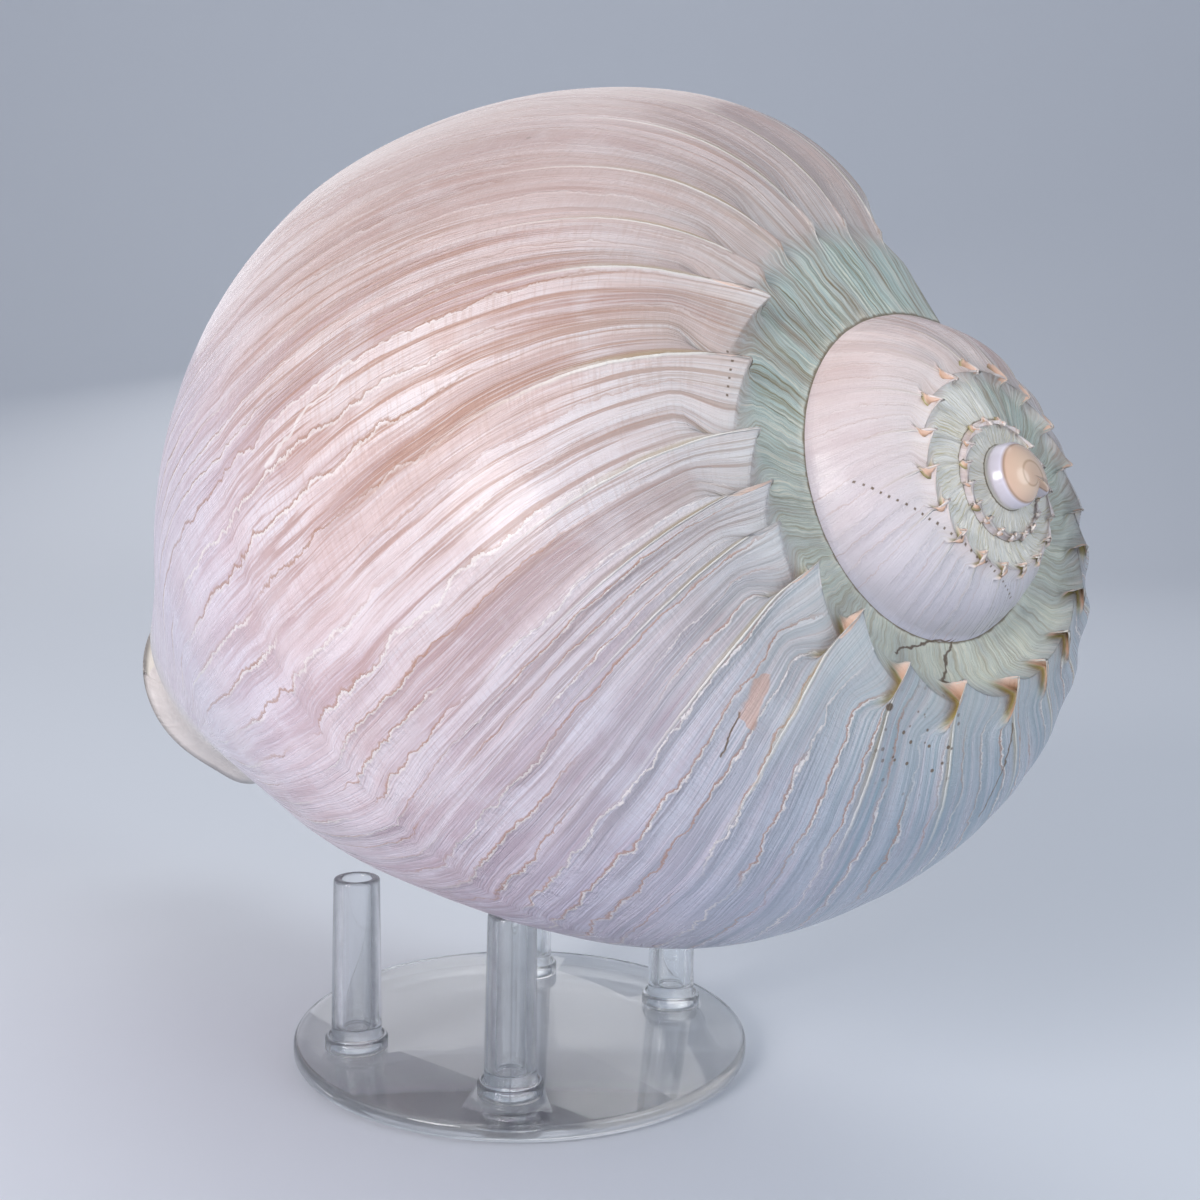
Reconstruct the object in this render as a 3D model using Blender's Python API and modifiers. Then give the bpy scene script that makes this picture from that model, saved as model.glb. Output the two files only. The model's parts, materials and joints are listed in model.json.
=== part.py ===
"""Old baler shell resting on a clear stand of one disc and four hollow posts.

Metres, +Z up. The origin is the middle of the disc's underside, +X is the shell's right
and -Y its front, the side from which the coiled top and the rounded back are seen.

The shell is one wall that grows along a spiral. Each growth stage is the same outline,
made larger and turned about the axis, so the surfaces are lofts between unlike sections:
the outside with its sloping ramp and hooded spines, the hollow, and the pillar.
"""
import math

import bmesh
import bpy
import numpy as np

# The stand
DISC_RADIUS = 0.050
DISC_THICKNESS = 0.0035
DISC_EDGE = 0.0010
POST_PLACES = {
    "post_left": (-0.0348, -0.0128),
    "post_front": (-0.0004, -0.0344),
    "post_right": (0.0340, 0.0158),
    "post_back": (0.0000, 0.0350),
}
POST_TOP_HEIGHT = 0.0406
POST_FOOT_RADIUS = 0.0054
POST_TOP_RADIUS = 0.0049
POST_BORE_RADIUS = 0.0031
POST_FLOOR = 0.0040
POST_ROUND = 0.0006
POST_SIDES = 20
DISC_SIDES = 48
COLLAR_RADIUS = 0.0067
COLLAR_HEIGHT = 0.0026
GAP = 0.0003

# Where the coil's pole is, how its axis leans, and where the lip stands around it
POLE = np.array([0.08185, -0.08915, 0.12955])
AXIS_AZIMUTH = math.radians(-49.7)
AXIS_ELEVATION = math.radians(18.16)
LIP_AZIMUTH = math.radians(-21.8)

# The last whorl is a little flatter where the front post bears it
REST_PLACE = np.array([0.000, -0.034, 0.036])
REST_SPREAD = np.array([0.019, 0.022, 0.030])
REST_LIFT = 0.0048

# Growth: the size falls back from 1 at the lip to the first whorl's, per radian of coil
GROWTH_RATE = 0.208
FIRST_SIZE = 0.119
COIL_LENGTH = 17.3
SHOULDER_DEPTH = 0.02985
FIRST_DEPTH = 0.0035
DEPTH_RATE = 1.636
CAP_RADIUS = 0.0046
CAP_BASE = 0.0030
CAP_TOP = -0.0013

# The last whorl's outline at the lip: radius and depth of its shoulder, girth and end
SHOULDER_RADIUS = 0.0583
GIRTH_RADIUS = 0.12195
GIRTH_DEPTH = 0.10495
END_RADIUS = 0.0524
END_DEPTH = 0.2979
SHOULDER_SLOPE = 0.245
END_SLOPE = 1.150
HANDLES = (0.473, 0.101, 0.245, 0.553)
LIP_FLARE = 0.0056
LIP_FLARE_REACH = 0.465
OLD_WHORL_WIDTH = (-0.159, -0.080)
OLD_WHORL_HEIGHT = 0.80

# The far side of the last whorl is longer and its end wider than at the lip
FAR_SIDE_START = 2.0
FAR_SIDE_SPAN = 2.4
FAR_SIDE_LONGER = 0.116
FAR_SIDE_END_WIDER = 0.326

# How far growth lines fall behind the shoulder on the way down, and the lip's own sweep
GROWTH_LINE = (-0.937, 0.494, -0.078)
LIP_SWEEP = -0.10
SUTURE = (0.340, 0.399, -0.744)
SUTURE_LOWEST = 0.04

# The wall, the hollow, the pillar and its foot
WALL = 0.0036
HOLLOW_DEPTH = 4.6
PILLAR_CORNER_RADIUS = 0.004
PILLAR_FOOT_RADIUS = 0.0125
PILLAR_FOOT_RISE = 0.010
PILLAR_PULL = 0.85
FOOT_START = 0.20
FOOT_RETURN = 0.56
FOOT_RINGS = 2
FOOT_SCOOP = np.array([0.005, -0.004, 0.001])

# Hooded spines: degrees back from the lip on the last whorl, and height as a share
LAST_WHORL_SPINES = (
    (5, 0.10), (17, 0.12), (29, 0.14), (43, 0.18), (54, 0.22), (63, 0.75), (79, 0.65),
    (95, 0.60), (106, 0.60), (114, 0.35), (126, 1.00), (141, 1.25), (160, 0.95),
    (179, 1.00), (201, 1.00), (217, 0.85), (232, 1.00), (251, 1.00), (269, 0.95),
    (283, 0.90), (302, 0.95), (321, 0.90), (340, 0.90), (358, 0.90),
)
OLD_SPINE_STEP = 20.5
OLD_SPINE_HEIGHT = 0.95
SPINE_HEIGHT = 0.0080
SPINE_LEAN = 0.35
SPINE_FORWARD = 0.25
SPINE_HALF_WIDTH = 0.0160
HOOD_POCKET = 0.55
SPINE_SWELL = 0.9

# How finely the surfaces are cut
COLUMNS_PER_TURN = 76
RAMP_ROWS = 4
SIDE_ROWS = 4
BODY_ROWS = 12
PILLAR_ROWS = 5
HOLLOW_RINGS = 18
CAP_RINGS = 3
RING_OUTER = 10
RING_FLOOR = 4
RING_INNER = 6
PARIETAL_GAP = 0.10
HOLLOW_TOP = 0.45

TURN = 2 * math.pi


def clear_scene():
    """Remove what the start-up file holds."""
    for thing in list(bpy.data.objects):
        bpy.data.objects.remove(thing, do_unlink=True)


def make_material(name, colour, roughness, transmission=0.0):
    """A Principled material with the piece's own colour and polish."""
    material = bpy.data.materials.new(name)
    material.use_nodes = True
    shader = material.node_tree.nodes["Principled BSDF"]
    shader.inputs["Base Color"].default_value = (*colour, 1.0)
    shader.inputs["Roughness"].default_value = roughness
    shader.inputs["Metallic"].default_value = 0.0
    shader.inputs["Transmission Weight"].default_value = transmission
    material.diffuse_color = (*colour, 1.0)
    return material


def add_piece(name, mesh, material, collection):
    """Put a finished mesh in the model under its own name."""
    piece = bpy.data.objects.new(name, mesh)
    piece.data.materials.append(material)
    collection.objects.link(piece)
    return piece


# Growth stages of the shell. theta is the angle grown, 0 at the lip and negative before it

def size_at(theta):
    """Size of the outline at a growth stage, 1 at the lip."""
    return FIRST_SIZE + (1 - FIRST_SIZE) * np.exp(GROWTH_RATE * theta)


def depth_at(theta):
    """Depth of the shoulder below the pole, along the axis."""
    return FIRST_DEPTH + (SHOULDER_DEPTH - FIRST_DEPTH) * np.exp(GROWTH_RATE * DEPTH_RATE * theta)


def smooth(share):
    """Smooth step from 0 to 1."""
    share = np.clip(share, 0.0, 1.0)
    return share * share * (3 - 2 * share)


def bezier(points, t):
    """Cubic curve through four control points in radius and depth."""
    a, b, c, d = (np.asarray(point, float) for point in points)
    t = np.asarray(t, float)[..., None]
    s = 1 - t
    return a * s**3 + 3 * b * s * s * t + 3 * c * s * t * t + d * t**3


def outline(u):
    """Last whorl's outline: u is 0 at the shoulder, 1 at the girth and 2 at the end."""
    shoulder = np.array([SHOULDER_RADIUS, 0.0])
    girth = np.array([GIRTH_RADIUS, GIRTH_DEPTH])
    end = np.array([END_RADIUS, END_DEPTH])
    upper = np.linalg.norm(girth - shoulder)
    lower = np.linalg.norm(end - girth)
    leave = np.array([math.cos(SHOULDER_SLOPE), math.sin(SHOULDER_SLOPE)])
    arrive = np.array([math.cos(END_SLOPE), -math.sin(END_SLOPE)])
    first = bezier((shoulder, shoulder + HANDLES[0] * upper * leave,
                    girth - (0, HANDLES[1] * upper), girth), np.clip(u, 0, 1))
    second = bezier((girth, girth + (0, HANDLES[2] * lower),
                     end + HANDLES[3] * lower * arrive, end), np.clip(u - 1, 0, 1))
    return np.where((np.asarray(u) < 1)[..., None], first, second)


def section(theta, u):
    """Radius and depth of the outside at a growth stage, below the shoulder."""
    theta, u = np.broadcast_arrays(np.asarray(theta, float), np.asarray(u, float))
    age = np.clip(-(theta + TURN) / TURN, 0, 2)
    size = size_at(theta)
    point = outline(u)
    widen = 1 + OLD_WHORL_WIDTH[0] * age + OLD_WHORL_WIDTH[1] * age**2
    radius = SHOULDER_RADIUS + (point[..., 0] - SHOULDER_RADIUS) * widen
    far = smooth((-theta - FAR_SIDE_START) / FAR_SIDE_SPAN)
    radius = radius * (1 + FAR_SIDE_END_WIDER * far * np.clip(u - 1, 0, 1)**2)
    flare = LIP_FLARE * np.exp(np.minimum(theta, 0.5) / LIP_FLARE_REACH) * np.clip(u, 0, 1)
    longer = 1 + FAR_SIDE_LONGER * far * smooth((u - 0.6) / 1.4)
    depth = depth_at(theta) + size * point[..., 1] * (1 + OLD_WHORL_HEIGHT * age) * longer
    return np.stack([size * (radius + flare), depth], -1)


def growth_lag(u):
    """Angle by which a growth line falls behind the shoulder at u."""
    u = np.asarray(u, float)
    return GROWTH_LINE[0] * u + GROWTH_LINE[1] * u**2 + GROWTH_LINE[2] * u**3


def suture_u(theta):
    """Where on the whorl at theta the next whorl is joined to it."""
    back = np.clip(-(np.asarray(theta, float) + TURN) / TURN, 0, 2)
    return np.maximum(SUTURE[0] + SUTURE[1] * back + SUTURE[2] * back**2, SUTURE_LOWEST)


def to_world(theta, radius, depth):
    """From angle grown, radius and depth to metres in the model's frame."""
    axis = np.array([math.cos(AXIS_ELEVATION) * math.cos(AXIS_AZIMUTH),
                     math.cos(AXIS_ELEVATION) * math.sin(AXIS_AZIMUTH),
                     math.sin(AXIS_ELEVATION)])
    up = np.array([0.0, 0.0, 1.0]) - axis * axis[2]
    up /= np.linalg.norm(up)
    side = np.cross(axis, up)
    azimuth = LIP_AZIMUTH - np.asarray(theta, float)
    radius = np.asarray(radius, float)
    depth = np.asarray(depth, float)
    place = (POLE + (radius * np.cos(azimuth))[..., None] * up
             + (radius * np.sin(azimuth))[..., None] * side - depth[..., None] * axis)
    away = (place - REST_PLACE) / REST_SPREAD
    place[..., 2] += REST_LIFT * np.exp(-np.sum(away**2, -1) / 2)
    return place


def spine_list():
    """Angle grown and height share of every hooded spine, oldest first."""
    spines = [(-math.radians(back), share) for back, share in LAST_WHORL_SPINES]
    back = LAST_WHORL_SPINES[-1][0] + OLD_SPINE_STEP
    while math.radians(back) < COIL_LENGTH - 0.2:
        spines.append((-math.radians(back), OLD_SPINE_HEIGHT))
        back += OLD_SPINE_STEP
    return sorted(spines)


def spine_shape(angles):
    """For each column: rise of the hood, pull back under it, and push forward."""
    step = angles[1] - angles[0]
    rims = [(int(round((angle - angles[0]) / step)), share) for angle, share in spine_list()]
    rise = np.zeros(len(angles))
    pull = np.zeros(len(angles))
    start = 0
    for rim, share in rims:
        for column in range(start, rim + 1):
            phase = (column - start) / max(rim - start, 1)
            rise[column] = share * phase**SPINE_SWELL
            pull[column] += -HOOD_POCKET * share * (1 - phase)**3 * (start > 0)
            pull[column] += SPINE_FORWARD * share * phase**3
        start = rim + 1
    return rise, pull


class Wall:
    """Collects the shell's points and faces."""

    def __init__(self):
        self.points = []
        self.faces = []

    def add(self, position):
        self.points.append(tuple(float(value) for value in position))
        return len(self.points) - 1

    def add_row(self, positions):
        return [self.add(position) for position in positions]

    def strip(self, first, second):
        """Join two runs of points, whatever their counts, advancing by share of length."""
        a = b = 0
        while a < len(first) - 1 or b < len(second) - 1:
            next_a = (a + 1) / (len(first) - 1) if a < len(first) - 1 else 2.0
            next_b = (b + 1) / (len(second) - 1) if b < len(second) - 1 else 2.0
            if abs(next_a - next_b) < 1e-9:
                self.face(first[a], first[a + 1], second[b + 1], second[b])
                a += 1
                b += 1
            elif next_a < next_b:
                self.face(first[a], first[a + 1], second[b])
                a += 1
            else:
                self.face(first[a], second[b + 1], second[b])
                b += 1

    def face(self, *corners):
        """Add a face, leaving out a corner that repeats the one before it."""
        kept = [c for i, c in enumerate(corners) if c != corners[i - 1]]
        if len(set(kept)) > 2:
            self.faces.append(kept)

    def fan(self, loop, centre):
        for first, second in zip(loop, loop[1:]):
            self.face(first, second, centre)

    def mesh(self, name):
        mesh = bpy.data.meshes.new(name)
        mesh.from_pydata(self.points, [], self.faces)
        mesh.validate()
        work = bmesh.new()
        work.from_mesh(mesh)
        bmesh.ops.triangulate(work, faces=work.faces)
        bmesh.ops.recalc_face_normals(work, faces=work.faces)
        work.to_mesh(mesh)
        work.free()
        return mesh


def chain(outer, inner, corner, share):
    """Radius and depth from the end of a whorl across the floor and up the pillar."""
    outer, inner, corner = (np.asarray(point, float) for point in (outer, inner, corner))
    near_outer = outer + PILLAR_PULL * (corner - outer)
    near_inner = inner + PILLAR_PULL * (corner - inner)
    return bezier((outer, near_outer, near_inner, inner), share)


def inside(theta, below):
    """Radius and depth of the wall's inner face; below runs from the ramp to the end."""
    below = np.asarray(below, float)
    theta = np.broadcast_to(np.asarray(theta, float), below.shape)
    ramp = section(theta - TURN, suture_u(theta - TURN))
    shoulder = section(theta, 0.0)
    thickness = (WALL * size_at(theta)**0.7)[..., None]
    on_ramp = np.clip(1 + below, 0, 1)[..., None]
    step = 0.02
    outer = np.where(below[..., None] < 0, ramp + (shoulder - ramp) * on_ramp,
                     section(theta, np.maximum(below, 0)))
    ahead = section(theta, np.clip(below, 0, 2) + step) - section(theta, np.clip(below, 0, 2))
    last = section(theta, 2.0) - section(theta, 2.0 - step)
    ahead = np.where(below[..., None] > 2 - step, last, ahead)
    ahead = np.where(below[..., None] < 0, shoulder - ramp, ahead)
    ahead = np.where(np.abs(below)[..., None] < 1e-6,
                     ahead / np.linalg.norm(ahead, axis=-1, keepdims=True)
                     + (shoulder - ramp) / np.linalg.norm(shoulder - ramp, axis=-1,
                                                          keepdims=True), ahead)
    ahead = ahead / np.linalg.norm(ahead, axis=-1, keepdims=True)
    normal = np.stack([ahead[..., 1], -ahead[..., 0]], -1)
    return outer - normal * thickness


def pillar_corner(theta):
    """Bottom corner that draws the floor and the pillar together."""
    end = section(theta, 2.0)
    return np.array([PILLAR_CORNER_RADIUS * size_at(theta), end[1] * 0.965])


def shell_mesh():
    """The whole shell as one closed wall."""
    wall = Wall()
    pitch = TURN / COLUMNS_PER_TURN
    suture_shift = int(round(-growth_lag(SUTURE[0]) / pitch))
    turn = COLUMNS_PER_TURN - suture_shift
    last = int(round(COIL_LENGTH / pitch))
    angles = (np.arange(last + 1) - last) * pitch
    rise, pull = spine_shape(angles)
    shoulder_row = RAMP_ROWS
    suture_row = RAMP_ROWS + SIDE_ROWS
    end_row = suture_row + BODY_ROWS
    first_full = last - turn

    # The outside, column by column: ramp, shoulder, side, and the body where it shows
    rows = []
    places = []
    for column, theta in enumerate(angles):
        ids = []
        spots = []
        size = float(size_at(theta))
        edge_u = float(suture_u(theta))
        us = np.concatenate([np.linspace(0, edge_u, SIDE_ROWS + 1),
                             np.linspace(edge_u, 2, BODY_ROWS + 1)[1:]])
        sweep = LIP_SWEEP * np.clip(us - 0.5, 0, 2)**2 * math.exp(theta / 0.5)
        body = section(theta + growth_lag(us) + sweep, us)
        body_angle = theta + growth_lag(us) + sweep
        if column < turn:
            share = column / turn
            goal = section(angles[0] + growth_lag(suture_u(angles[0])), suture_u(angles[0]))
            radius = CAP_RADIUS + (goal[0] - CAP_RADIUS) * share**2
            start = (theta, radius, CAP_BASE + (goal[1] - CAP_BASE) * share**2)
        else:
            start = places[column - turn][suture_row]
            start = (start[0] + TURN, start[1], start[2])
        for row in range(shoulder_row):
            share = row / shoulder_row
            spots.append(tuple(start[k] + ((theta, *body[0])[k] - start[k]) * share
                               for k in range(3)))
        for angle, (radius, depth) in zip(body_angle, body):
            spots.append((angle, radius, depth))
        shoulder = np.array(spots[shoulder_row][1:])
        for row in range(1, suture_row + 3):
            angle, radius, depth = spots[row]
            reach = math.hypot(radius - shoulder[0], depth - shoulder[1])
            weight = max(0.0, 1 - reach / (SPINE_HALF_WIDTH * size))
            lift = SPINE_HEIGHT * size * rise[column] * weight
            push = SPINE_HEIGHT * size * pull[column] * weight
            spots[row] = (angle + push / radius, radius - SPINE_LEAN * lift, depth - lift)
        places.append(spots)
        last_row = end_row if column >= first_full else suture_row
        for row, spot in enumerate(spots[:last_row + 1]):
            if row == 0 and column >= turn:
                ids.append(rows[column - turn][suture_row])
            else:
                ids.append(wall.add(to_world(*spot)))
        rows.append(ids)
    for column in range(last):
        count = min(len(rows[column]), len(rows[column + 1]))
        for row in range(count - 1):
            wall.face(rows[column][row], rows[column + 1][row],
                      rows[column + 1][row + 1], rows[column][row + 1])

    # The smooth first cap closes the start of the coil
    loop = [rows[column][0] for column in range(turn + 1)]
    loop += [rows[0][row] for row in range(suture_row - 1, -1, -1)]
    loop_spots = [places[column][0] for column in range(turn)]
    loop_spots.append(places[0][suture_row])
    loop_spots += [places[0][row] for row in range(suture_row - 1, -1, -1)]
    for ring in range(1, CAP_RINGS + 1):
        share = 1 - ring / (CAP_RINGS + 1)
        bulge = 1 - math.sqrt(1 - share**2)
        inner = [wall.add(to_world(angle, radius * share, CAP_TOP + (depth - CAP_TOP) * bulge))
                 for angle, radius, depth in loop_spots[:-1]]
        inner.append(inner[0])
        wall.strip(loop, inner)
        loop = inner
    wall.fan(loop, wall.add(to_world(0.0, 0.0, CAP_TOP)))

    # The lip's inner edge, then the ring of points round the mouth
    lip_rows = list(range(2, end_row + 1))
    belows = []
    edge_u = float(suture_u(0.0))
    for row in lip_rows:
        if row <= shoulder_row:
            belows.append(row / shoulder_row - 1)
        elif row <= suture_row:
            belows.append(edge_u * (row - shoulder_row) / SIDE_ROWS)
        else:
            belows.append(edge_u + (2 - edge_u) * (row - suture_row) / BODY_ROWS)
    belows = np.array(belows)
    lip_lag = growth_lag(np.maximum(belows, 0)) + LIP_SWEEP * np.clip(belows - 0.5, 0, 2)**2
    lip_inner = inside(lip_lag, belows)
    lip_ids = wall.add_row(to_world(lag, *spot) for lag, spot in zip(lip_lag, lip_inner))
    old = rows[first_full]
    old_spot = places[first_full][end_row]
    inner_end = (lip_lag[-1], *lip_inner[-1])
    shares = np.linspace(0, 1, PILLAR_ROWS + 1)
    floor = chain(inner_end[1:], old_spot[1:], pillar_corner(0.0), shares[1:-1])
    floor_angle = inner_end[0] + (old_spot[0] + TURN - inner_end[0]) * shares[1:-1]
    floor_ids = wall.add_row(to_world(a, *p) for a, p in zip(floor_angle, floor))
    mouth = lip_ids + floor_ids + [old[row] for row in range(end_row, suture_row, -1)]
    outer_lip = [rows[last][row] for row in range(1, end_row + 1)]
    wall.strip(outer_lip, lip_ids)
    wall.face(rows[last][0], rows[last][1], lip_ids[0])
    wall.face(rows[last][0], lip_ids[0], old[suture_row + 1])

    # The hollow winds back from the mouth and ends blind
    previous = mouth + [mouth[0]]
    depths = HOLLOW_DEPTH * np.linspace(0, 1, HOLLOW_RINGS + 1)[1:]
    for depth in depths:
        theta = -depth
        belows = np.concatenate([[-1 + HOLLOW_TOP, -0.25], np.linspace(0, 2, RING_OUTER - 2)])
        lag = growth_lag(np.maximum(belows, 0))
        outer = inside(theta + lag, belows)
        low = float(suture_u(theta - TURN)) + PARIETAL_GAP
        us = np.linspace(2, low, RING_INNER)
        inner_angle = theta + growth_lag(us) + suture_shift * pitch
        inner = section(inner_angle - TURN, us)
        shares = np.linspace(0, 1, RING_FLOOR + 2)[1:-1]
        floor = chain(outer[-1], inner[0], pillar_corner(theta), shares)
        floor_angle = theta + lag[-1] + (inner_angle[0] - theta - lag[-1]) * shares
        ring = wall.add_row(to_world(theta + a, *p) for a, p in zip(lag, outer))
        ring += wall.add_row(to_world(a, *p) for a, p in zip(floor_angle, floor))
        ring += wall.add_row(to_world(a, *p) for a, p in zip(inner_angle, inner))
        ring.append(ring[0])
        wall.strip(previous, ring)
        previous = ring
    centre = np.mean([wall.points[point] for point in previous[:-1]], axis=0)
    wall.fan(previous, wall.add(centre))

    # The pillar's outside, from the end of each stage down to its foot
    tip = rows[last][end_row]
    tip_spot = places[last][end_row]
    start_chain = [old[end_row]] + floor_ids[::-1] + [lip_ids[-1], tip]
    previous = start_chain
    foot_loop = [tip]
    for column in range(first_full + 1, last):
        share = (column - first_full) / turn
        top = places[column][end_row]
        spread = (smooth(1 - share / FOOT_START)**2
                  + smooth((share - FOOT_RETURN) / (1 - FOOT_RETURN))**2)
        foot_radius = PILLAR_FOOT_RADIUS + (tip_spot[1] - PILLAR_FOOT_RADIUS) * spread
        foot_depth = tip_spot[2] - PILLAR_FOOT_RISE * (1 - spread)
        lag = -0.70 + 0.25 * share
        foot_angle = angles[column] + lag
        shares = np.linspace(1, 0, PILLAR_ROWS + 3)[1:]
        corner = np.array([foot_radius * 0.75, foot_depth - 0.03 * (1 - share)])
        spots = chain((foot_radius, foot_depth), top[1:], corner, shares)
        spot_angle = foot_angle + (top[0] - foot_angle) * shares
        ids = [rows[column][end_row]]
        ids += wall.add_row(to_world(a, *p) for a, p in zip(spot_angle, spots))
        wall.strip(ids, previous)
        foot_loop.append(ids[-1])
        previous = ids
    wall.fan(previous[::-1], tip)
    rim = np.array([wall.points[point] for point in foot_loop])
    middle = rim.mean(axis=0)
    loop = foot_loop + [tip]
    for ring in range(1, FOOT_RINGS + 1):
        share = 1 - ring / (FOOT_RINGS + 1)
        inner = wall.add_row(middle + (rim - middle) * share + FOOT_SCOOP * (1 - share**2))
        inner.append(inner[0])
        wall.strip(loop, inner)
        loop = inner
    wall.fan(loop, wall.add(middle + FOOT_SCOOP))
    return wall.mesh("shell")


def turned(name, profile):
    """Outline of a round piece: radius and height at +X, down its outer side."""
    mesh = bpy.data.meshes.new(name)
    points = [(radius, 0.0, height) for radius, height in profile]
    edges = [(i, i + 1) for i in range(len(points) - 1)]
    if profile[0][0] > 0:
        edges.append((len(points) - 1, 0))
    mesh.from_pydata(points, edges, [])
    return mesh


def screw(piece, steps):
    """Turn the outline once about Z."""
    turn = piece.modifiers.new("turn", "SCREW")
    turn.steps = steps
    turn.render_steps = steps
    turn.use_merge_vertices = True
    turn.merge_threshold = 0.00005


def add_post(name, place, material, collection):
    """One hollow tapered post, open at the top, standing in its collar."""
    foot = DISC_THICKNESS + GAP
    profile = [
        (0.0, foot + POST_FLOOR), (POST_BORE_RADIUS, foot + POST_FLOOR),
        (POST_BORE_RADIUS, POST_TOP_HEIGHT - POST_ROUND),
        (POST_BORE_RADIUS + POST_ROUND, POST_TOP_HEIGHT),
        (POST_TOP_RADIUS - POST_ROUND, POST_TOP_HEIGHT),
        (POST_TOP_RADIUS, POST_TOP_HEIGHT - POST_ROUND),
        (POST_FOOT_RADIUS, foot), (0.0, foot),
    ]
    post = add_piece(name, turned(name, profile), material, collection)
    post.location = (*place, 0.0)
    screw(post, POST_SIDES)


def add_disc(material, collection):
    """The round disc with four low collars moulded on its top."""
    edge = DISC_RADIUS - DISC_EDGE
    low = DISC_EDGE
    high = DISC_THICKNESS - DISC_EDGE
    profile = [(0.0, DISC_THICKNESS), (edge, DISC_THICKNESS), (DISC_RADIUS, high),
               (DISC_RADIUS, low), (edge, 0.0), (0.0, 0.0)]
    disc = add_piece("stand_disc", turned("stand_disc", profile), material, collection)
    screw(disc, DISC_SIDES)
    hole = POST_FOOT_RADIUS + GAP
    top = DISC_THICKNESS + COLLAR_HEIGHT
    ring = [(hole, top), (COLLAR_RADIUS - POST_ROUND, top), (COLLAR_RADIUS, top - POST_ROUND),
            (COLLAR_RADIUS, DISC_THICKNESS - DISC_EDGE), (hole, DISC_THICKNESS - DISC_EDGE)]
    cutters = bpy.data.collections.new("cutters")
    bpy.context.scene.collection.children.link(cutters)
    for name, place in POST_PLACES.items():
        collar = add_piece(name.replace("post", "collar"), turned("collar", ring),
                           material, cutters)
        collar.location = (*place, 0.0)
        collar.hide_render = True
        collar.display_type = "WIRE"
        screw(collar, POST_SIDES)
        join = disc.modifiers.new(collar.name, "BOOLEAN")
        join.operation = "UNION"
        join.object = collar
    return disc


def main():
    clear_scene()
    collection = bpy.data.collections.new("baler_shell_on_stand")
    bpy.context.scene.collection.children.link(collection)
    aged_shell = make_material("aged_shell", (0.78, 0.68, 0.64), 0.5)
    clear_plastic = make_material("clear_plastic", (0.93, 0.96, 0.98), 0.06, transmission=1.0)
    shell = add_piece("shell", shell_mesh(), aged_shell, collection)
    shell.data.shade_smooth()
    shell.data.set_sharp_from_angle(angle=math.radians(40))
    add_disc(clear_plastic, collection)
    for name, place in POST_PLACES.items():
        add_post(name, place, clear_plastic, collection)


main()
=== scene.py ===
import json
import math

import bmesh
import bpy
import numpy as np
from mathutils import Matrix, Vector

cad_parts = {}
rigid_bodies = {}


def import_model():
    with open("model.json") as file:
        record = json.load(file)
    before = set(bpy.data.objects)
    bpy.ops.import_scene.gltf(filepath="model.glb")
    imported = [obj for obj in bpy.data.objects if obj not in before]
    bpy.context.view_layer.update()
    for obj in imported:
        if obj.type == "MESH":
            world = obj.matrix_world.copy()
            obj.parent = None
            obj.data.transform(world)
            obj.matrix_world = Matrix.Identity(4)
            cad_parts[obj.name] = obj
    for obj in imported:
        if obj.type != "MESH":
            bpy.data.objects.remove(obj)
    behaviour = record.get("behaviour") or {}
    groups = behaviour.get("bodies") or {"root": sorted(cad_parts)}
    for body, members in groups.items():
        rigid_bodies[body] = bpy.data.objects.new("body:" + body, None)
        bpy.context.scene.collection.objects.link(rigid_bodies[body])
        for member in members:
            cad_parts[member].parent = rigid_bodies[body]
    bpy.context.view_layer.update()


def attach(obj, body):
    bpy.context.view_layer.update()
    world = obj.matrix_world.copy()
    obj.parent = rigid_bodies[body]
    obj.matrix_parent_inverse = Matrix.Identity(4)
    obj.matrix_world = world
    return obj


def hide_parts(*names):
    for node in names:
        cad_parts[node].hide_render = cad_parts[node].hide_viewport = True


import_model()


# The view. A camera a little above the stand looks slightly down at the coiled top and the
# rounded back, as the viewer of the stand does.

EYE = (0.015837, -0.3236059, 0.1342975)
EYE_DOWN = math.radians(6.1368)
EYE_ROLL = math.radians(1.0425)

down_look = np.array([[1, 0, 0], [0, -math.sin(EYE_DOWN), -math.cos(EYE_DOWN)],
                      [0, math.cos(EYE_DOWN), -math.sin(EYE_DOWN)]])
roll_look = np.array([[math.cos(EYE_ROLL), -math.sin(EYE_ROLL), 0],
                      [math.sin(EYE_ROLL), math.cos(EYE_ROLL), 0], [0, 0, 1]])
look = roll_look @ down_look
eye_lens = bpy.data.cameras.new("eye")
eye_lens.lens = 45.0
eye_lens.sensor_width = 36.0
eye_lens.clip_start = 0.01
eye = bpy.data.objects.new("eye", eye_lens)
eye.matrix_world = Matrix([[*(look[0][k], -look[1][k], -look[2][k]), EYE[k]] for k in range(3)]
                          + [[0, 0, 0, 1]])
bpy.context.scene.collection.objects.link(eye)
bpy.context.scene.camera = eye


# The shell. One wall of lime grown along a spiral: the same outline, made larger and turned
# about the axis at each stage. The shoulder carries hooded spines, each one the old edge of
# the lip, with a pocket under it where the next stage of growth began.

POLE = np.array([0.08185, -0.08915, 0.12955])
AXIS_AZIMUTH = math.radians(-49.7)
AXIS_ELEVATION = math.radians(18.16)
LIP_AZIMUTH = math.radians(-21.8)
REST_PLACE = np.array([0.000, -0.034, 0.036])
REST_SPREAD = np.array([0.019, 0.022, 0.030])
REST_LIFT = 0.0048
GROWTH_RATE = 0.208
FIRST_SIZE = 0.119
COIL_LENGTH = 17.3
SHOULDER_DEPTH = 0.02985
FIRST_DEPTH = 0.0035
DEPTH_RATE = 1.636
CAP_RADIUS = 0.0046
CAP_BASE = 0.0030
CAP_TOP = -0.0013
SHOULDER_RADIUS = 0.0583
GIRTH_RADIUS = 0.12195
GIRTH_DEPTH = 0.10495
END_RADIUS = 0.0524
END_DEPTH = 0.2979
SHOULDER_SLOPE = 0.245
END_SLOPE = 1.150
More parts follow.
